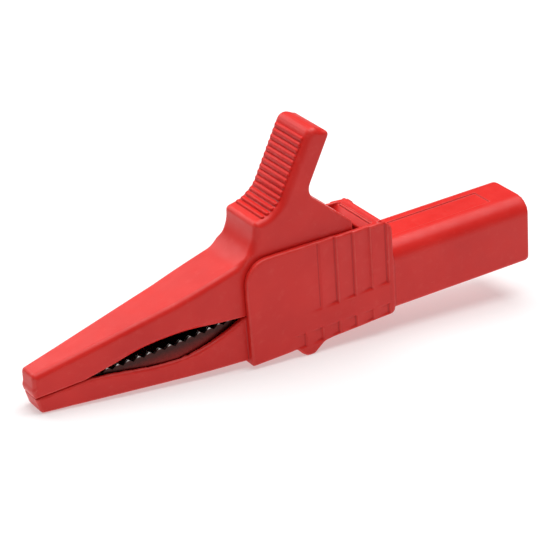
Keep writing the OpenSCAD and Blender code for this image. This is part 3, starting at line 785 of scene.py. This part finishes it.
def lever_field(x, y, z):
    """The whole lever moulding, the same on both sides like the body."""
    w = np.abs(y)
    pivot = np.hypot(x - PIVOT_X, z - PIVOT_Z)
    side = fillet(inside_outline(x, z, lever_side), pivot - EAR_R, 1.0)
    soft = REAR_EDGE + THUMB_EDGE * (1 - ease((path_distance(x, z, thumb_line) - 1.0) / 1.8))
    soft = soft + JAW_TOP_EDGE * ease((z - parting_z(x) - 0.9) / 1.0) * ease((-52.0 - x) / 3.0)
    plan = round_edge(w - jaw_half(x), NOSE_X - x, UPPER_PLAN_R)
    solid = round_edge(side, plan, soft)
    trough = np.maximum(inside_outline(x, z, upper_trough), w - inner_half(x))
    block = round_edge(inside_outline(x, z, block_hollow), w - BLOCK_HALF, 0.4)
    bore = pivot - PIN_R - BORE_PLAY
    return round_edge(solid, -np.minimum(np.minimum(trough, block), bore), 0.12)


# %% Lever moulding: net
LEVER_CELL = 0.235
LEVER_FOOT_Z = -2.0
margin = 2.5 * LEVER_CELL
low_corner = np.array([NOSE_X, -FLANK, LEVER_FOOT_Z])
high_corner = np.array([HEEL[0] + 0.2, FLANK, TAB_TOP])
lever_moulding = moulding("lever_moulding", lever_field, low_corner - margin, high_corner + margin,
                          LEVER_CELL, red)
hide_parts("lever_shell")
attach(lever_moulding, "lever")

# %% [markdown]
# ## Ridges on the thumb face
# Fifteen ridges cross the thumb face at an even spacing, from the lip up to the tip. They
# could be part of the lever's field, but detail as fine as this would need a far closer
# net. So one ridge is modelled, and Geometry Nodes sets it out along the face's own line,
# turned to stand square on it.


# %% Ridges: helpers
def bar(name, half, width, height, sink, material):
    """A ridge with round ends that lies along Y and stands up along Z."""
    ends = 7
    around = 9
    round_r = width * 0.55
    turns = np.linspace(0.12, math.pi / 2, ends)
    rings = [(-half + round_r * (1 - math.cos(t)), max(math.sin(t), 0.15)) for t in turns]
    rings = rings + [(-y, s) for y, s in rings[::-1]]
    points = []
    for y, s in rings:
        for k in range(around):
            a = math.pi * k / (around - 1)
            rise = (height + sink) * math.sin(a) ** 1.2 * s - sink
            points.append((-math.cos(a) * width / 2 * s, y, rise))
    faces = []
    for i in range(len(rings) - 1):
        for k in range(around):
            a, b = i * around + k, i * around + (k + 1) % around
            faces.append((a, b, b + around, a + around))
    faces.append(tuple(range(around - 1, -1, -1)))
    faces.append(tuple(range((len(rings) - 1) * around, len(rings) * around)))
    return mesh_object(name, points, faces, material)


def outward(piece):
    """Turns every face of a closed mesh outwards."""
    work = bmesh.new()
    work.from_mesh(piece.data)
    bmesh.ops.recalc_face_normals(work, faces=work.faces)
    work.to_mesh(piece.data)
    work.free()


def line_object(name, points):
    """An open line of points in millimetres, as edges only."""
    mesh = bpy.data.meshes.new(name)
    links = [(i, i + 1) for i in range(len(points) - 1)]
    mesh.from_pydata([tuple(np.array(p) * MM) for p in points], links, [])
    made = bpy.data.objects.new(name, mesh)
    bpy.context.scene.collection.objects.link(made)
    return made


def line_tree(name, inputs):
    """Starts a node tree that takes a line, a material and the named inputs."""
    tree = bpy.data.node_groups.new(name, "GeometryNodeTree")
    sockets = {"Geometry": "NodeSocketGeometry", **inputs, "Material": "NodeSocketMaterial"}
    for title, kind in sockets.items():
        tree.interface.new_socket(title, in_out="INPUT", socket_type=kind)
    tree.interface.new_socket("Geometry", in_out="OUTPUT", socket_type="NodeSocketGeometry")
    start = tree.nodes.new("NodeGroupInput")
    curve = tree.nodes.new("GeometryNodeMeshToCurve")
    tree.links.new(start.outputs["Geometry"], curve.inputs["Mesh"])
    return tree, start, curve.outputs["Curve"]


def end_tree(tree, start, made):
    """Ends the tree: plain geometry in the material that it was given."""
    real = tree.nodes.new("GeometryNodeRealizeInstances")
    paint = tree.nodes.new("GeometryNodeSetMaterial")
    end = tree.nodes.new("NodeGroupOutput")
    tree.links.new(made, real.inputs["Geometry"])
    tree.links.new(real.outputs["Geometry"], paint.inputs["Geometry"])
    tree.links.new(start.outputs["Material"], paint.inputs["Material"])
    tree.links.new(paint.outputs["Geometry"], end.inputs["Geometry"])


def along_line_tree():
    """Geometry Nodes: one piece repeated along a line, square to it."""
    tree, start, line = line_tree("repeat along a line",
                                  {"Piece": "NodeSocketObject", "Spacing": "NodeSocketFloat"})
    new, link = tree.nodes.new, tree.links.new
    even = new("GeometryNodeResampleCurve")
    even.mode = "LENGTH"
    tangent = new("GeometryNodeInputTangent")
    turn = new("FunctionNodeAlignRotationToVector")
    turn.axis = "X"
    turn.pivot_axis = "Y"
    info = new("GeometryNodeObjectInfo")
    place = new("GeometryNodeInstanceOnPoints")
    link(line, even.inputs["Curve"])
    link(start.outputs["Spacing"], even.inputs["Length"])
    link(tangent.outputs["Tangent"], turn.inputs["Vector"])
    link(start.outputs["Piece"], info.inputs["Object"])
    link(even.outputs["Curve"], place.inputs["Points"])
    link(info.outputs["Geometry"], place.inputs["Instance"])
    link(turn.outputs["Rotation"], place.inputs["Rotation"])
    end_tree(tree, start, place.outputs["Instances"])
    return tree


def run_nodes(name, host, tree, inputs):
    """Runs a node tree on the host and keeps the result as a plain mesh."""
    modifier = host.modifiers.new("nodes", "NODES")
    modifier.node_group = tree
    for item in tree.interface.items_tree:
        if item.in_out == "INPUT" and item.name in inputs:
            modifier[item.identifier] = inputs[item.name]
    host.update_tag()
    ready = host.evaluated_get(bpy.context.evaluated_depsgraph_get())
    mesh = bpy.data.meshes.new_from_object(ready)
    mesh.name = name
    piece = bpy.data.objects.new(name, mesh)
    bpy.context.scene.collection.objects.link(piece)
    host.modifiers.remove(modifier)
    bpy.data.objects.remove(host)
    print(name, "faces", len(mesh.polygons))
    return piece


# %% Ridges: set them out along the thumb face
RIDGE_PITCH = 1.02
RIDGE_COUNT = 15
RIDGE_HALF = 4.1
TIP_TO_FIRST_RIDGE = 2.45
LIP_TOP = np.array([-49.9, 17.2])
STRAIGHT_Z = 20.0
highest = tip_front - UP * TIP_TO_FIRST_RIDGE
at_lip = int(np.argmin([np.linalg.norm(p - LIP_TOP) for p in lever_side]))
at_straight = int(np.argmax([p[1] > STRAIGHT_Z for p in lever_side]))
face_run = [p for p in lever_side[at_lip:at_straight + 1] if p[1] < highest[1]]
track = np.array([highest] + face_run[::-1])
length = np.concatenate([[0], np.cumsum(np.linalg.norm(np.diff(track, axis=0), axis=1))])
reach = RIDGE_PITCH * (RIDGE_COUNT - 1) + 0.01
stops = np.linspace(0, min(reach, length[-1]), 60)
ridge_track = [(np.interp(s, length, track[:, 0]), 0.0, np.interp(s, length, track[:, 1])) for s in stops]
one_ridge = bar("one_ridge", half=RIDGE_HALF, width=0.80, height=0.32, sink=0.18, material=plain_red)
outward(one_ridge)
ridges = run_nodes("thumb_ridges", line_object("ridge_line", ridge_track), along_line_tree(),
                   {"Piece": one_ridge, "Spacing": RIDGE_PITCH * MM, "Material": plain_red})
bpy.data.objects.remove(one_ridge)
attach(ridges, "lever")

# %% [markdown]
# ## The spring
# A torsion spring of 1 mm wire turns round the pivot. One leg lies under the lever's roof and
# the other on the fixed plate. Its line is a helix with two straight legs. A curve with a
# round bevel would do, but a node tree keeps the wire's radius as a named input.


# %% Spring: the wire's node tree
WIRE_SIDES = 20


def sweep_tree():
    """Geometry Nodes: a round wire swept along a line."""
    tree, start, line = line_tree("wire along a line", {"Radius": "NodeSocketFloat"})
    new, link = tree.nodes.new, tree.links.new
    circle = new("GeometryNodeCurvePrimitiveCircle")
    circle.inputs["Resolution"].default_value = WIRE_SIDES
    sweep = new("GeometryNodeCurveToMesh")
    sweep.inputs["Fill Caps"].default_value = True
    link(start.outputs["Radius"], circle.inputs["Radius"])
    link(line, sweep.inputs["Curve"])
    link(circle.outputs["Curve"], sweep.inputs["Profile Curve"])
    end_tree(tree, start, sweep.outputs["Mesh"])
    return tree


# %% Spring: its line
WIRE_R = 0.5
COIL_R = 2.7
COIL_PITCH = 1.1
WHOLE_TURNS = 3
COIL_STEPS = 160
LEG_STEPS = 12
LEG_TO_EDGE = 0.42
UPPER_LEG = math.radians(40)
LOWER_LEG = math.radians(35)
coil_start = math.pi / 2 + UPPER_LEG
coil_turn = 1.5 * math.pi - LOWER_LEG - coil_start + WHOLE_TURNS * 2 * math.pi
coil_wide = COIL_PITCH * coil_turn / (2 * math.pi)


def coil_point(t):
    """A point of the helix, t = 0 at the upper leg and 1 at the lower."""
    a = coil_start + coil_turn * t
    return np.array([PIVOT_X + COIL_R * math.cos(a), (0.5 - t) * coil_wide, PIVOT_Z + COIL_R * math.sin(a)])


spring_low, spring_high = np.array(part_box("torsion_spring")) / MM
leave, arrive = coil_point(0), coil_point(1)
upper_run = (spring_high[2] - LEG_TO_EDGE - leave[2]) / math.sin(UPPER_LEG)
lower_run = (arrive[2] - spring_low[2] - LEG_TO_EDGE) / math.sin(LOWER_LEG)
upper_end = leave + upper_run * np.array([math.cos(UPPER_LEG), 0, math.sin(UPPER_LEG)])
lower_end = arrive + lower_run * np.array([math.cos(LOWER_LEG), 0, -math.sin(LOWER_LEG)])
spring_line = ([tuple(upper_end + (leave - upper_end) * t) for t in np.linspace(0, 0.97, LEG_STEPS)]
               + [tuple(coil_point(t)) for t in np.linspace(0, 1, COIL_STEPS)]
               + [tuple(arrive + (lower_end - arrive) * t) for t in np.linspace(0.03, 1, LEG_STEPS)])
spring = run_nodes("torsion_spring", line_object("spring_line", spring_line), sweep_tree(),
                   {"Radius": WIRE_R * MM, "Material": spring_steel})
outward(spring)
spring.data.shade_smooth()
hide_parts("torsion_spring")
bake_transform(spring)

# %% [markdown]
# ## Turned parts
# Contact, sleeve, pin and bush are round about one axis, so each is a profile spun round
# that axis. A Screw modifier could spin them, but a loop puts every point where the drawing
# has it. The outer edges carry the small chamfer that a lathe or a mould leaves.


# %% Turned parts: helpers
SHARP_ANGLE = math.radians(32)


def weld(piece):
    """Joins the points on the axis, turns the faces outwards and marks the sharp edges."""
    work = bmesh.new()
    work.from_mesh(piece.data)
    bmesh.ops.remove_doubles(work, verts=work.verts, dist=1e-7)
    bmesh.ops.dissolve_degenerate(work, edges=work.edges, dist=1e-8)
    bmesh.ops.recalc_face_normals(work, faces=work.faces)
    for edge in work.edges:
        edge.smooth = len(edge.link_faces) == 2 and edge.calc_face_angle(0) < SHARP_ANGLE
    work.to_mesh(piece.data)
    work.free()


def turned(name, profile, axis, centre, material, sides=64):
    """Spins a closed profile of (along, radius) round an axis through centre."""
    profile = np.array(profile, float)
    across = {"x": (1, 2), "y": (2, 0), "z": (0, 1)}[axis]
    main = "xyz".index(axis)
    points = []
    for k in range(sides):
        a = 2 * math.pi * k / sides
        for s, r in profile:
            p = np.array(centre, float)
            p[main] += s
            p[across[0]] += r * math.cos(a)
            p[across[1]] += r * math.sin(a)
            points.append(p)
    n = len(profile)
    faces = []
    for k in range(sides):
        for i in range(n):
            j = (i + 1) % n
            a, b = k * n, (k + 1) % sides * n
            faces.append((a + i, a + j, b + j, b + i))
    piece = mesh_object(name, points, faces, material)
    weld(piece)
    print(name, "faces", len(piece.data.polygons))
    return piece


def stand_in(piece, node):
    """Puts the piece in the place of one of the model's housing parts."""
    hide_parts(node)
    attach(piece, "housing")


# %% Turned parts: contact, sleeve and pin
CHAMFER = 0.15
PIN_CHAMFER = 0.25
TUBE_R = 2.5
FLANGE_R = 3.8
FLANGE_REAR_X = -21.0
FLANGE_FRONT_X = -22.0
STEM_X = -25.8
BORE_R = 2.0
CONE_X = -20.5
CONE_TIP_X = -21.8
SLEEVE_R = 3.15
SLEEVE_MOUTH_X = 1.4
SLEEVE_THROAT_R = 2.25
origin = (0, 0, 0)
contact = turned("contact_tube", [
    (STEM_X, 1.5), (STEM_X, TUBE_R - CHAMFER), (STEM_X + CHAMFER, TUBE_R), (FLANGE_FRONT_X, TUBE_R),
    (FLANGE_FRONT_X, FLANGE_R - CHAMFER), (FLANGE_FRONT_X + CHAMFER, FLANGE_R),
    (FLANGE_REAR_X - CHAMFER, FLANGE_R), (FLANGE_REAR_X, FLANGE_R - CHAMFER), (FLANGE_REAR_X, TUBE_R),
    (-CHAMFER, TUBE_R), (0.0, TUBE_R - CHAMFER), (0.0, 2.15), (-0.35, BORE_R),
    (CONE_X, BORE_R), (-21.6, 0.6), (CONE_TIP_X, 0.6), (CONE_TIP_X, 1.5)], "x", origin, brass)
stand_in(contact, "contact_socket")
sleeve = turned("socket_sleeve", [
    (FLANGE_REAR_X, TUBE_R), (FLANGE_REAR_X, SLEEVE_R), (SLEEVE_MOUTH_X - 0.3, SLEEVE_R),
    (SLEEVE_MOUTH_X - 0.09, 3.06), (SLEEVE_MOUTH_X, 2.85), (SLEEVE_MOUTH_X, 2.5),
    (SLEEVE_MOUTH_X - 0.2, SLEEVE_THROAT_R), (0.0, SLEEVE_THROAT_R), (0.0, TUBE_R)],
    "x", origin, plain_red)
stand_in(sleeve, "socket_sleeve")
pin_half = pin_high[1]
pin = turned("pivot_pin", [
    (-pin_half, 0.0), (-pin_half, PIN_R - PIN_CHAMFER), (-pin_half + PIN_CHAMFER, PIN_R),
    (pin_half - PIN_CHAMFER, PIN_R), (pin_half, PIN_R - PIN_CHAMFER), (pin_half, 0.0)],
    "y", (PIVOT_X, 0, PIVOT_Z), pin_steel)
stand_in(pin, "pivot_pin")

# %% [markdown]
# ## The bush
# A nylon bush on the pin keeps the coil round and stops it from scraping on the steel. It
# is turned like the other round parts, and its finish is a warm white with a faint grain,
# because nylon lets some light in and never looks quite even.

# %% Bush: finish and piece
BUSH_PLAY = 0.05
f = Finish("natural nylon")
f.feed(f.shader.inputs["Base Color"], f.blend(f.noise(300.0, 3.0), (0.78, 0.74, 0.64), (0.88, 0.85, 0.77)))
f.feed(f.shader.inputs["Roughness"], f.fit(f.noise(700.0), 0.3, 0.7, 0.40, 0.55))
f.feed(f.shader.inputs["Normal"], f.bump(f.noise(3000.0), 0.3, 0.00002))
nylon = f.material
bush_high = np.array(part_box("spring_bush")[1]) / MM
bush_half, bush_r = bush_high[1], bush_high[2] - PIVOT_Z
bush = turned("spring_bush", [
    (-bush_half, PIN_R + BUSH_PLAY), (-bush_half, bush_r - CHAMFER), (-bush_half + CHAMFER, bush_r),
    (bush_half - CHAMFER, bush_r), (bush_half, bush_r - CHAMFER), (bush_half, PIN_R + BUSH_PLAY)],
    "y", (PIVOT_X, 0, PIVOT_Z), nylon)
stand_in(bush, "spring_bush")

# %% [markdown]
# ## Plates and fasteners
# The two toothed plates are folded on a press, and the screw, the washer and the rivet are
# small and sit deep inside. Their crisp shapes in the model are right as they are, so they
# keep them and only get a finish here.

# %% Finishes for the pieces that keep the model's shape
finishes = {
    "fixed_jaw": toothed_nickel("nickel plated steel, toothed"),
    "moving_jaw": nickel,
    "socket_screw": zinc,
    "lock_washer": zinc,
    "jaw_rivet": pin_steel,
}
for name, finish in finishes.items():
    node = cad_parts[name]
    node.data.materials.clear()
    node.data.materials.append(finish)

# %% [markdown]
# ## Studio
# The clip rests on its nose and its finger rest, so the floor slopes a little under it. The
# floor is a plain pale sheet that glows faintly, which keeps it even and near white. A
# large soft light hangs overhead, and a weaker one stands behind and lifts the tops.

# %% Floor
FINGER_REST_X = -43.1
FLOOR_GAP = 0.02
FLOOR_HALF = 900.0
FLOOR_SLOPE = (body_low[2] - under_z(NOSE_X)) / (FINGER_REST_X - NOSE_X)


def floor_z(x):
    """Height of the floor, just under the nose and the finger rest."""
    return under_z(NOSE_X) - FLOOR_GAP + FLOOR_SLOPE * (x - NOSE_X)


corners = ((-1, -1), (1, -1), (1, 1), (-1, 1))
floor_points = [(sx * FLOOR_HALF, sy * FLOOR_HALF, floor_z(sx * FLOOR_HALF)) for sx, sy in corners]
floor = mesh_object("floor", floor_points, [(0, 1, 2, 3)], red)
f = Finish("pale studio floor")
f.feed(f.shader.inputs["Base Color"], f.blend(f.noise(8.0), (0.57, 0.57, 0.57), (0.60, 0.60, 0.60)))
f.feed(f.shader.inputs["Roughness"], f.fit(f.noise(40.0), 0.3, 0.7, 0.80, 0.95))
f.shader.inputs["Specular IOR Level"].default_value = 0.1
f.shader.inputs["Emission Color"].default_value = (1, 1, 1, 1)
f.shader.inputs["Emission Strength"].default_value = 0.42
floor.data.materials[0] = f.material
print("floor slope:", FLOOR_SLOPE)

# %% Lights
scene = bpy.context.scene
world = bpy.data.worlds.new("studio")
world.use_nodes = True
world.node_tree.nodes["Background"].inputs["Color"].default_value = (1, 1, 1, 1)
world.node_tree.nodes["Background"].inputs["Strength"].default_value = 0.12
scene.world = world


def soft_light(name, at, target, size, power):
    """A square soft light at a place in millimetres, aimed at a target."""
    lamp = bpy.data.lights.new(name, "AREA")
    lamp.shape = "SQUARE"
    lamp.size = size * MM
    lamp.energy = power
    made = bpy.data.objects.new(name, lamp)
    back = (np.array(at, float) - np.array(target, float))
    back /= np.linalg.norm(back)
    side = np.cross((0.0, 1.0, 0.0), back)
    side /= np.linalg.norm(side)
    up = np.cross(back, side)
    turn = Matrix((side, up, back)).transposed().to_4x4()
    made.matrix_world = Matrix.Translation([v * MM for v in at]) @ turn
    scene.collection.objects.link(made)


soft_light("overhead light", at=(60.0, 20.0, 460.0), target=(-45.0, 0.0, 0.0), size=460.0, power=2.9)
soft_light("back light", at=(-150.0, 330.0, 240.0), target=(-45.0, 0.0, 5.0), size=320.0, power=0.75)
scene.view_settings.view_transform = "Standard"

# %% [markdown]
# ## Camera
# A long lens from the front left and above keeps the clip's sides nearly parallel. The
# camera is rolled by a few degrees, which tips the clip towards the frame's diagonal.

# %% Camera
AZIMUTH, ELEVATION, ROLL = (math.radians(a) for a in (-29.93, 27.34, -4.00))
AWAY = 384.7
AIM = np.array([-45.37, 0.0, 4.33])
level_share = math.cos(ELEVATION)
back = np.array([math.sin(AZIMUTH) * level_share, -math.cos(AZIMUTH) * level_share, math.sin(ELEVATION)])
level = np.array([math.cos(AZIMUTH), math.sin(AZIMUTH), 0.0])
above = np.cross(back, level)
right = math.cos(ROLL) * level + math.sin(ROLL) * above
top = -math.sin(ROLL) * level + math.cos(ROLL) * above
lens = bpy.data.cameras.new("camera")
lens.sensor_width = 36.0
lens.lens = 154.35
lens.clip_start = 0.01
lens.clip_end = 10.0
camera = bpy.data.objects.new("camera", lens)
turn = Matrix((right, top, back)).transposed().to_4x4()
camera.matrix_world = Matrix.Translation(((AIM + AWAY * back) * MM).tolist()) @ turn
scene.collection.objects.link(camera)
scene.camera = camera
